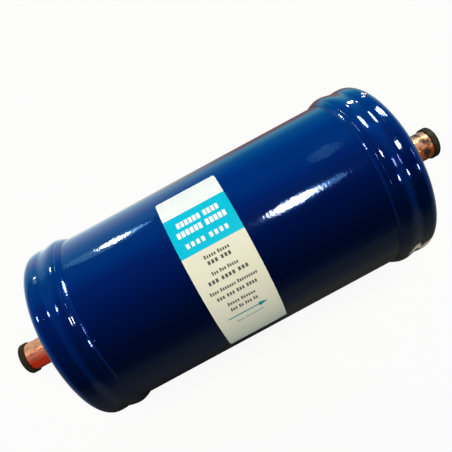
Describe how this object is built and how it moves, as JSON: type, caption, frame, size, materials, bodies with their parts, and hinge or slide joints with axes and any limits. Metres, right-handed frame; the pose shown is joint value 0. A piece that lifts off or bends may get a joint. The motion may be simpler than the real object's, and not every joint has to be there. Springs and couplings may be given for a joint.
{
  "type": "filter drier",
  "caption": "Liquid-line filter drier: welded steel can with swelled end caps, a solid desiccant core inside, and a copper solder socket with a dust cap at each end.",
  "frame": {"origin": "middle of the drier, on its axis", "axes": "+X along the flow, from the inlet to the outlet; +Z out through the middle of the rating label"},
  "size_m": [0.2392, 0.0932, 0.0932],
  "materials": {
    "blue_paint": "gloss enamel",
    "copper": "drawn copper, scratched",
    "braze": "as brazed",
    "black_plastic": "dull black",
    "label_film": "gloss film",
    "spring_steel": "wire",
    "plated_steel": "zinc plated",
    "screen_steel": "woven wire",
    "felt": "pressed felt",
    "gasket_rubber": "plain",
    "desiccant": "porous moulded block"
  },
  "bodies": {
    "drier": {"shell_tube": "blue_paint", "inlet_end_cap": "blue_paint", "outlet_end_cap": "blue_paint", "inlet_weld_bead": "blue_paint", "outlet_weld_bead": "blue_paint", "inlet_fitting": "copper", "outlet_fitting": "copper", "inlet_braze_ring": "braze", "outlet_braze_ring": "braze", "label": "label_film", "core_spring": "spring_steel", "spring_plate": "plated_steel", "inlet_felt_pad": "felt", "desiccant_core": "desiccant", "core_gasket": "gasket_rubber", "filter_pad": "felt", "mesh_screen": "screen_steel", "support_plate": "plated_steel"},
    "inlet_cap": {"inlet_dust_cap": "black_plastic"},
    "outlet_cap": {"outlet_dust_cap": "black_plastic"}
  },
  "joints": [
    {"name": "inlet_cap_pull", "type": "slide", "parent": "drier", "child": "inlet_cap", "axis": [-1, 0, 0], "range_m": [0, 0.06]},
    {"name": "outlet_cap_pull", "type": "slide", "parent": "drier", "child": "outlet_cap", "axis": [1, 0, 0], "range_m": [0, 0.06]}
  ]
}
